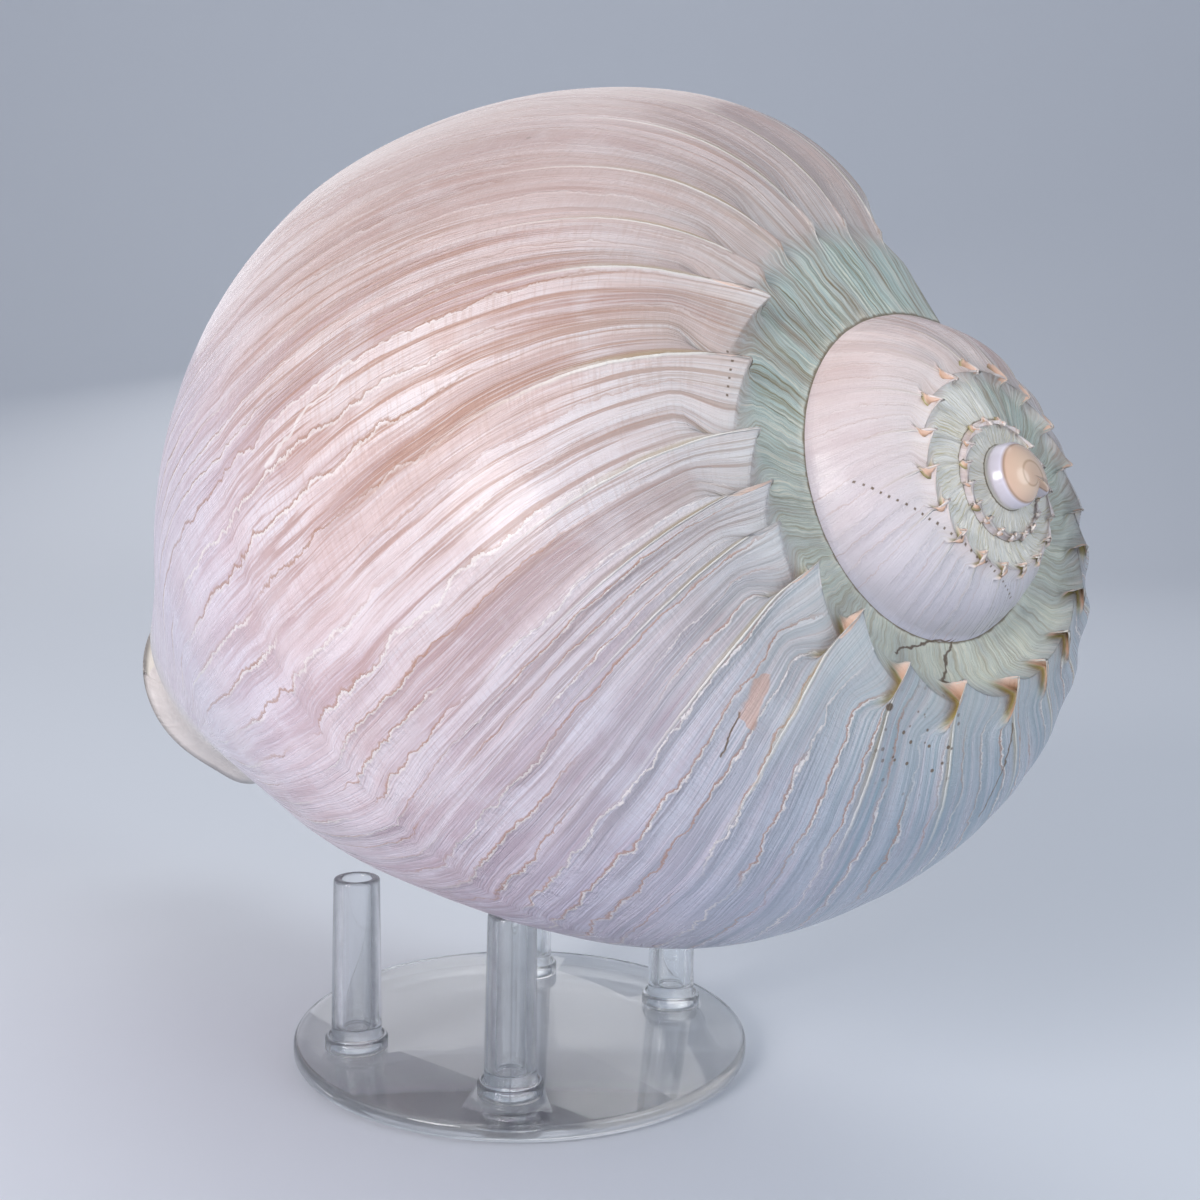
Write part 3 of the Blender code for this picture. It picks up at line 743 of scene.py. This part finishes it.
def beside(spot, first, second):
    """Distance from a stretch on the wall, how far along it, and 1 where it runs."""
    way = np.subtract(second, first)
    half = float(np.linalg.norm(way)) / 2
    middle = np.add(first, second) / 2
    off_way = np.cross(way, middle - SHELL_MIDDLE)
    axes = (off_way, way, np.cross(off_way, way))
    turned_by = Matrix([Vector(axis).normalized() for axis in axes]).transposed().to_euler()
    placed = spot.made("ShaderNodeMapping", {"vector_type": "TEXTURE"}, Vector=spot,
                       Location=tuple(middle), Rotation=turned_by)
    parts = spot.node("ShaderNodeSeparateXYZ", i0=placed)
    off = spot.maths("ABSOLUTE", Flow(spot.tree, parts.outputs[0]))
    past_middle = Flow(spot.tree, parts.outputs[1])
    on_it = spot.maths("ABSOLUTE", past_middle).below(half, half + 0.0002)
    return off, past_middle + half, on_it


def shaken(spot, scale, amount):
    """A spot moved about by noise, so that a straight stretch becomes a crooked one."""
    noise = spot.made("ShaderNodeTexNoise", output=1, Vector=spot, Scale=scale, Detail=3.0)
    shift = spot.made("ShaderNodeVectorMath", {"operation": "SUBTRACT"}, i0=noise,
                      i1=(0.5, 0.5, 0.5))
    return spot.made("ShaderNodeVectorMath", {"operation": "MULTIPLY_ADD"}, i0=shift,
                     i1=(amount, amount, amount), i2=spot)


def shell_material():
    material = bpy.data.materials.new("weathered_shell")
    material.use_nodes = True
    tree = material.node_tree
    shader = tree.nodes["Principled BSDF"]
    start = Flow(tree, shader.outputs[0])
    growth = start.made("ShaderNodeUVMap", {"uv_map": "growth"})
    parts = start.node("ShaderNodeSeparateXYZ", i0=growth)
    grown = Flow(tree, parts.outputs[0])
    down = Flow(tree, parts.outputs[1])
    position = start.made("ShaderNodeTexCoord", output=3)
    spot = start.node("ShaderNodeSeparateXYZ", i0=position)
    across = Flow(tree, spot.outputs[0])
    height = Flow(tree, spot.outputs[2])

    def mark(name):
        return start.made("ShaderNodeAttribute", {"attribute_name": name}, output=2)

    def near(place, low, high):
        off = start.made("ShaderNodeVectorMath", {"operation": "DISTANCE"}, output=1,
                         i0=position, i1=place)
        return off.below(low, high)

    inner = mark("inner")
    cap = mark("first_cap")
    mouth = mark("hood_mouth")
    pocket = mark("hood_depth")
    outside = inner.below(0.0, 0.3) * cap.below(0.0, 0.05)
    old = 1 - grown.above(*LAST_WHORL_START)
    top_edge = down + (start.noise(grown * 2.0, down * 4.0, 9.0) - 0.5) * 0.30
    on_ramp = top_edge.below(-0.40, 0.08) * outside
    on_body = down.above(-0.02, 0.08) * outside
    young = 1 - old * 0.60

    # Pinkish cream plates with tan and brown streaks that follow the old edges of the lip
    wander = start.noise(grown * 1.1, down * 2.4, 0.3, detail=2.0) - 0.5
    ragged = start.noise(grown * 2.0, down * 13.0, 4.0, detail=5.0, roughness=0.65) - 0.5
    ragged = ragged * (1 - down.above(0.9, 1.6) * 0.75)
    line = grown + wander * 0.22 + ragged * 0.012
    edges = line * PLATES_PER_HOOD + ragged * 0.90
    number = edges.floor()
    step = edges.fraction()
    plate = start.made("ShaderNodeTexWhiteNoise", {"noise_dimensions": "1D"}, W=number)
    strength = start.noise(number * 3.7, down * 2.2, 4.0, detail=1.0).above(0.42, 0.58)
    strength = strength * on_body * young * down.below(1.6, 1.9)
    strength = strength * (1 - height.above(0.125, 0.175) * 0.65)
    broad = start.noise(line * 2.2, down * 0.8, 1.0, detail=3.0)
    fine = start.noise(line * 13.0, down * 1.6, 2.0, detail=4.0, roughness=0.65)
    hair = start.noise(line * 55.0, down * 3.0, 3.0, detail=3.0, roughness=0.65)
    striae = start.noise(grown * 2.0, down * 170.0, 7.0, detail=2.0)
    cloud = start.made("ShaderNodeTexNoise", Vector=position, Scale=14.0, Detail=3.0)
    colour = start.made("ShaderNodeValToRGB", {"stops": [
        (0.34, (0.50, 0.31, 0.27)), (0.45, (0.74, 0.56, 0.52)), (0.55, (0.84, 0.71, 0.69)),
        (0.65, (0.60, 0.42, 0.40))]}, Fac=broad + (plate - 0.5) * 0.22)
    patch = start.made("ShaderNodeTexNoise", Vector=position, Scale=45.0, Detail=4.0, Roughness=0.6)
    colour = colour.blend((0.86, 0.78, 0.78), patch.above(0.50, 0.62) * 0.45)
    colour = colour.blend((0.58, 0.42, 0.38), patch.below(0.36, 0.47) * 0.35 * young)
    tan = fine.above(0.50, 0.58) * (0.20 + cloud.above(0.41, 0.54) * 0.80)
    colour = colour.blend((0.47, 0.25, 0.17), tan * 0.80 * young)
    colour = colour.blend((0.88, 0.82, 0.84), hair.below(0.40, 0.48) * 0.35)
    colour = colour.blend((0.44, 0.27, 0.22), hair.above(0.54, 0.62) * 0.28 * young)
    striped = striae.above(0.50, 0.62) * broad.above(0.42, 0.55) * on_body
    colour = colour.blend((0.56, 0.36, 0.29), striped * 0.26 * young)

    # Darker tan on top; lilac underside, part own tone and part painted bluish reflection; painted
    # light on the left; blue-grey right, part own teal and part painted shade and reflection
    colour = colour.blend((0.48, 0.34, 0.31), height.above(0.135, 0.205) * 0.70)
    # The lilac below is partly the shell's own tone and partly a painted bluish reflection from
    # beneath.
    low = (1 - (height + across.above(-0.11, -0.01) * 0.07).above(0.120, 0.215))
    low = low * (0.70 + (cloud - 0.5) * 1.4)
    colour = colour.blend((0.62, 0.57, 0.80), low * 0.55)
    # Painted light: lighter and paler on the left side, where the key lamp falls.
    colour = colour.blend((0.88, 0.83, 0.94), across.below(-0.075, -0.030) * 0.45)
    # Partly the shell's own blue-grey teal, partly painted shade and a painted bluish reflection on
    # the right side.
    right = across.above(-0.030, 0.070) * height.below(0.095, 0.165)
    colour = colour.blend((0.21, 0.34, 0.42), right * (0.66 + (fine - 0.5) * 1.3) * young)
    colour = colour.blend((0.80, 0.63, 0.57), old * on_body * 0.60)
    # The older whorls get the same painted shade and bluish reflection on their right side, partly
    # their own blue-grey.
    colour = colour.blend((0.52, 0.53, 0.62), old * on_body * right * 0.8)

    # Pale green ramp with fine dark folds, cream on the older whorls
    ramp_line = start.noise((grown + wander * 0.30) * 20.0, down * 0.7, 5.0, detail=4.0,
                            roughness=0.6)
    mixed = ramp_line * 0.8 + broad * 0.2
    green = start.made("ShaderNodeValToRGB", {"stops": [
        (0.38, (0.20, 0.18, 0.08)), (0.44, (0.38, 0.40, 0.31)), (0.53, (0.49, 0.62, 0.59)),
        (0.63, (0.78, 0.78, 0.66))]}, Fac=mixed)
    green = green.blend((0.88, 0.84, 0.68), right * 0.55)
    cream = start.made("ShaderNodeValToRGB", {"stops": [
        (0.36, (0.66, 0.58, 0.36)), (0.44, (0.90, 0.86, 0.74)), (0.56, (0.95, 0.93, 0.87))]},
        Fac=mixed)
    near_top = on_ramp * 0.75 + down.below(-0.05, 0.30) * outside * 0.25
    near_top = near_top * (0.9 + (broad - 0.5) * 1.2) + old * on_ramp * 0.30
    colour = colour.blend(green.blend(cream, old), near_top.made("ShaderNodeClamp", Value=near_top))
    beads = start.noise(grown * 3.4, 0.0, 8.0, detail=3.0).above(0.44, 0.60)
    # Painted shadow: a dark line along the suture where the whorl overhangs, broken by the pale
    # beads.
    suture_shadow = (1 - (down - beads * 0.012).above(-0.998, -0.970)) * outside
    colour = colour.blend((0.84, 0.80, 0.68), down.below(-0.97, -0.88) * beads * outside * 0.5)
    colour = colour.blend((0.17, 0.12, 0.06), suture_shadow * 0.85)

    # Ragged old edges: a pale rim over a brown painted shadow below it
    rim = step.above(0.90, 0.97) * strength
    edge_shadow = step.below(0.03, 0.10) * strength
    colour = colour.blend((0.92, 0.84, 0.80), rim * 0.75)
    colour = colour.blend((0.42, 0.22, 0.14), edge_shadow * 0.70)
    fold = (grown + ragged * 0.05).fraction()
    last_edge = fold.above(0.955, 0.988) * down.above(-0.4, -0.1) * down.below(0.10, 0.45)
    last_edge = last_edge * (1 - old * down.above(0.03, 0.12))
    colour = colour.blend((0.92, 0.88, 0.80), last_edge * outside * 0.8)
    # Painted shade: olive-brown just past each hood's rim, under its overhang.
    shade_under_edge = fold.below(0.01, 0.07) * down.below(0.10, 0.30) * on_body * young
    colour = colour.blend((0.40, 0.30, 0.14), shade_under_edge * 0.55)

    # Hood mouths: white rim and peach petal, with painted shade as an olive throat and a dark slit
    # deep in the pocket
    petal_and_pocket_shade = start.made("ShaderNodeValToRGB", {"stops": [
        (0.0, (0.94, 0.90, 0.86)), (0.16, (0.90, 0.66, 0.54)), (0.50, (0.74, 0.46, 0.32)),
        (0.80, (0.20, 0.13, 0.05))]}, Fac=pocket)
    # Painted shade: olive deep in the hood's pocket, away from the mouth's face.
    colour = colour.blend((0.40, 0.34, 0.12), pocket.above(0.08, 0.5) * (1 - mouth))
    colour = colour.blend(petal_and_pocket_shade, mouth.above(0.15, 0.5))

    # Pits over the body; pin holes, borings, cracks, flaking and a chip on the side that faces
    # front
    crooked = shaken(position, 260.0, 0.0022)
    pits = start.made("ShaderNodeTexVoronoi", {"feature": "F1"}, Vector=crooked, Scale=100.0)
    chosen = start.noise(grown * 0.9, down * 3.0, 21.0).above(0.56, 0.64)
    pins = start.made("ShaderNodeTexVoronoi", {"feature": "F1"}, Vector=position, Scale=600.0)
    marks = pins.below(0.14, 0.25) * near(PIN_HOLES, 0.4 * PIN_HOLES_REACH, PIN_HOLES_REACH)
    for place in WORM_HOLES:
        marks = marks + near(place, 0.0005, 0.0008)
    wavy = shaken(position, 260.0, 0.0010)
    for first, second in BORED_ROWS:
        off, along, on_it = beside(wavy, first, second)
        dots = start.maths("ABSOLUTE", (along * (1 / BORED_STEP)).fraction() - 0.5)
        marks = marks + off.below(0.00009, 0.00028) * dots.below(0.08, 0.19) * on_it
    for first, second in CRACKS:
        off, along, on_it = beside(crooked, first, second)
        marks = marks + off.below(0.00006, 0.00026) * on_it
    front = Flow(tree, spot.outputs[1]).below(-0.066, -0.060) * outside
    marks = marks * front + pits.below(0.030, 0.065) * chosen * on_body * young
    colour = colour.blend((0.15, 0.10, 0.06), marks.made("ShaderNodeClamp", Value=marks) * 0.95)
    torn = shaken(position, 120.0, 0.009)
    off, along, on_it = beside(torn, *FLAKED_EDGE)
    flaked = off.below(0.0002, 0.0007) * on_it * front * on_body
    colour = colour.blend((0.93, 0.86, 0.84), flaked * 0.7)
    off, along, on_it = beside(torn, *CHIP)
    chipped = off.below(0.0010, 0.0016) * on_it * front * on_body
    colour = colour.blend((0.56, 0.33, 0.24), chipped * 0.65)

    # Glossy cream where the wall turns in at the narrow end
    turned_in = down.above(1.90, 2.02) * inner.below(0.3, 0.9)
    colour = colour.blend((0.80, 0.74, 0.70), turned_in * 0.9)

    # Warm inside with a cream edge, and the smooth tan first cap over its white band
    glow = start.made("ShaderNodeValToRGB", {"stops": [
        (0.2, (0.84, 0.66, 0.50)), (0.8, (0.88, 0.76, 0.62))]}, Fac=cloud)
    colour = colour.blend(glow, inner.above(0.3, 0.9))
    colour = colour.blend((0.80, 0.74, 0.66), inner.above(0.0, 0.2) * inner.below(0.4, 0.9))
    dome = start.made("ShaderNodeValToRGB", {"stops": [
        (0.02, (0.56, 0.52, 0.56)), (0.13, (0.68, 0.64, 0.72)), (0.18, (0.40, 0.26, 0.18)),
        (0.22, (0.68, 0.47, 0.35)), (0.60, (0.74, 0.54, 0.40)), (0.65, (0.52, 0.35, 0.24)),
        (0.70, (0.70, 0.50, 0.37)), (1.0, (0.66, 0.46, 0.34))]}, Fac=cap)
    colour = colour.blend(dome, cap.above(0.0, 0.05))
    tree.links.new(colour.socket, shader.inputs["Base Color"])

    smooth_parts = inner.above(0.0, 0.4) * 0.18 + cap.above(0.0, 0.1) * 0.14 + turned_in * 0.16
    rough = 0.29 + (fine - 0.5) * 0.30 + on_ramp * 0.16 - smooth_parts * 0.8
    tree.links.new(rough.socket, shader.inputs["Roughness"])
    raised = (step ** 3.0) * strength * 0.85 + last_edge * 0.4
    texture = (hair * 0.30 + fine * 0.35 + striae * 0.14) * young
    texture = (texture + raised + ramp_line * on_ramp * 0.9) * outside
    bump = start.made("ShaderNodeBump", Height=texture, Strength=0.75, Distance=0.0012)
    tree.links.new(bump.socket, shader.inputs["Normal"])
    shader.inputs["Coat Weight"].default_value = 0.22
    shader.inputs["Coat Roughness"].default_value = 0.16
    return material


weathered = shell.modifiers.new("weathering", "NODES")
weathered.node_group = weathering_tree()
for socket in weathered.node_group.interface.items_tree:
    if socket.in_out == "INPUT" and socket.name == "Shell":
        weathered[socket.identifier] = shell_material()
depsgraph = bpy.context.evaluated_depsgraph_get()
finished = bpy.data.meshes.new_from_object(shell.evaluated_get(depsgraph))
shell.modifiers.remove(weathered)
shell.data = finished
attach(shell, "root")
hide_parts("shell")


# The stand. A disc of clear acrylic with a polished edge and four low collars moulded on its
# top; in each stands a hollow tapered post, open at the top.

POST_PLACES = {
    "post_left": (-0.0348, -0.0128),
    "post_front": (-0.0004, -0.0344),
    "post_right": (0.0340, 0.0158),
    "post_back": (0.0000, 0.0350),
}
DISC_RADIUS = 0.050
DISC_THICKNESS = 0.0035
COLLAR_RADIUS = 0.0067
COLLAR_HEIGHT = 0.0026
COLLAR_HOLE = 0.0057
POST_FOOT = 0.0038
POST_FOOT_RADIUS = 0.0054
POST_TOP = 0.0406
POST_TOP_RADIUS = 0.0049
POST_BORE = 0.0031
POST_FLOOR = 0.0040
DISC_STEPS = 160
POST_STEPS = 64
CORNER_STEPS = 5


def rounded(corners):
    """A profile of radius and height, with each corner rounded by its own amount."""
    spots = [np.array(corner[:2]) for corner in corners]
    line = []
    for k, (radius, height, amount) in enumerate(corners):
        if amount == 0:
            line.append(spots[k])
            continue
        before = spots[k - 1] - spots[k]
        after = spots[(k + 1) % len(spots)] - spots[k]
        begin = spots[k] + before / np.linalg.norm(before) * amount
        end = spots[k] + after / np.linalg.norm(after) * amount
        for share in np.linspace(0, 1, CORNER_STEPS):
            line.append(begin * (1 - share)**2 + 2 * share * (1 - share) * spots[k]
                        + end * share**2)
    return line


def turned(name, corners, steps, place, ring=False):
    """A turned solid: points on the axis close it, and a ring's profile closes on itself."""
    work = bmesh.new()
    loops = []
    for radius, height in rounded(corners):
        if radius < 1e-6:
            loops.append([work.verts.new((place[0], place[1], height))] * steps)
        else:
            loops.append([work.verts.new((place[0] + radius * math.cos(TURN * k / steps),
                                          place[1] + radius * math.sin(TURN * k / steps),
                                          height)) for k in range(steps)])
    if ring:
        loops.append(loops[0])
    for first, second in zip(loops, loops[1:]):
        for k in range(steps):
            m = (k + 1) % steps
            corner = [first[k], first[m], second[m], second[k]]
            corner = [vert for n, vert in enumerate(corner) if vert not in corner[:n]]
            if len(corner) > 2:
                work.faces.new(corner)
    bmesh.ops.recalc_face_normals(work, faces=work.faces)
    mesh = bpy.data.meshes.new(name)
    work.to_mesh(mesh)
    work.free()
    piece = bpy.data.objects.new(name, mesh)
    bpy.context.scene.collection.objects.link(piece)
    return piece


def clear_acrylic():
    material = bpy.data.materials.new("clear_acrylic")
    material.use_nodes = True
    tree = material.node_tree
    shader = tree.nodes["Principled BSDF"]
    start = Flow(tree, shader.outputs[0])
    position = start.made("ShaderNodeTexCoord", output=3)
    shader.inputs["Base Color"].default_value = (0.975, 0.990, 1.0, 1.0)
    shader.inputs["Transmission Weight"].default_value = 1.0
    shader.inputs["IOR"].default_value = 1.49
    shader.inputs["Alpha"].default_value = 0.85
    smear = start.made("ShaderNodeTexNoise", Vector=position, Scale=60.0, Detail=3.0)
    rough = 0.015 + smear.above(0.45, 0.75) * 0.05
    tree.links.new(rough.socket, shader.inputs["Roughness"])
    return material


acrylic = clear_acrylic()
disc_top = DISC_THICKNESS
edge_round = 0.0012
disc = turned("clear_disc", [
    (0.0, disc_top, 0), (DISC_RADIUS, disc_top, edge_round), (DISC_RADIUS, 0.0, edge_round),
    (0.0, 0.0, 0)], DISC_STEPS, (0.0, 0.0))
collar_top = DISC_THICKNESS + COLLAR_HEIGHT
for name, place in POST_PLACES.items():
    collar = turned(name.replace("post", "collar"), [
        (COLLAR_HOLE, collar_top, 0.0003), (COLLAR_RADIUS, collar_top, 0.0007),
        (COLLAR_RADIUS, disc_top - 0.0010, 0), (COLLAR_HOLE, disc_top - 0.0010, 0)],
        POST_STEPS, place, ring=True)
    join = disc.modifiers.new(collar.name, "BOOLEAN")
    join.operation = "UNION"
    join.solver = "EXACT"
    join.object = collar
whole = bpy.data.meshes.new_from_object(disc.evaluated_get(bpy.context.evaluated_depsgraph_get()))
disc.modifiers.clear()
disc.data = whole
for name in POST_PLACES:
    bpy.data.objects.remove(bpy.data.objects[name.replace("post", "collar")])
stand_pieces = [(disc, "stand_disc")]
for name, place in POST_PLACES.items():
    post = turned("clear_" + name, [
        (0.0, POST_FOOT + POST_FLOOR, 0), (POST_BORE, POST_FOOT + POST_FLOOR, 0.0010),
        (POST_BORE, POST_TOP, 0.0006), (POST_TOP_RADIUS, POST_TOP, 0.0007),
        (POST_FOOT_RADIUS, POST_FOOT, 0.0003), (0.0, POST_FOOT, 0)], POST_STEPS, place)
    stand_pieces.append((post, name))
for piece, node in stand_pieces:
    piece.data.materials.clear()
    piece.data.materials.append(acrylic)
    piece.data.shade_smooth()
    piece.data.set_sharp_from_angle(angle=math.radians(35))
    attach(piece, "root")
    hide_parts(node)


# The room: a plain pale floor that curves up behind, and large soft lights.

floor_mesh = bpy.data.meshes.new("floor")
profile = [(-1.6, -0.0006), (1.2, -0.0006)]
profile += [(1.2 + 0.8 * math.sin(a), 0.7994 - 0.8 * math.cos(a))
            for a in np.linspace(0.1, 1.57, 16)]
profile += [(2.0, 2.6)]
floor_points = [(x, y, z) for x in (-3.0, 3.0) for y, z in profile]
count = len(profile)
floor_faces = [(k, k + count, k + count + 1, k + 1) for k in range(count - 1)]
floor_mesh.from_pydata(floor_points, [], floor_faces)
floor_mesh.shade_smooth()
floor = bpy.data.objects.new("floor", floor_mesh)
bpy.context.scene.collection.objects.link(floor)
pale = bpy.data.materials.new("pale_floor")
pale.use_nodes = True
pale.node_tree.nodes["Principled BSDF"].inputs["Base Color"].default_value = (0.76, 0.79, 0.84, 1)
pale.node_tree.nodes["Principled BSDF"].inputs["Roughness"].default_value = 0.8
floor_mesh.materials.append(pale)

for name, place, target, size, power, tint in (
        ("key", (-0.80, -1.00, 0.48), (0.0, 0.0, 0.10), 0.60, 11.6, (1.0, 0.965, 0.955)),
        ("fill", (1.1, -0.7, 0.55), (0.0, 0.0, 0.10), 0.90, 5.5, (0.84, 0.94, 1.0)),
        ("top", (0.1, 0.35, 1.25), (0.0, 0.0, 0.10), 0.90, 2.2, (0.95, 0.97, 1.0)),
        ("back", (-0.4, 1.4, 0.90), (0.0, 0.0, 0.10), 1.40, 4.0, (1.0, 0.97, 0.94)),
        ("low", (-0.1, -1.1, 0.06), (0.0, 0.0, 0.10), 0.60, 1.5, (0.72, 0.78, 1.0))):
    lamp = bpy.data.lights.new(name, "AREA")
    lamp.shape = "DISK"
    lamp.size = size
    lamp.energy = power
    lamp.color = tint
    holder = bpy.data.objects.new(name, lamp)
    look_at = Matrix.Translation(place)
    from_to = np.array(target) - np.array(place)
    quaternion = Vector(from_to).to_track_quat("-Z", "Y")
    holder.matrix_world = look_at @ quaternion.to_matrix().to_4x4()
    bpy.context.scene.collection.objects.link(holder)

world = bpy.data.worlds.new("studio")
world.use_nodes = True
world.node_tree.nodes["Background"].inputs[0].default_value = (0.80, 0.86, 1.0, 1)
world.node_tree.nodes["Background"].inputs[1].default_value = 0.36
bpy.context.scene.world = world
bpy.context.scene.view_settings.view_transform = "Standard"
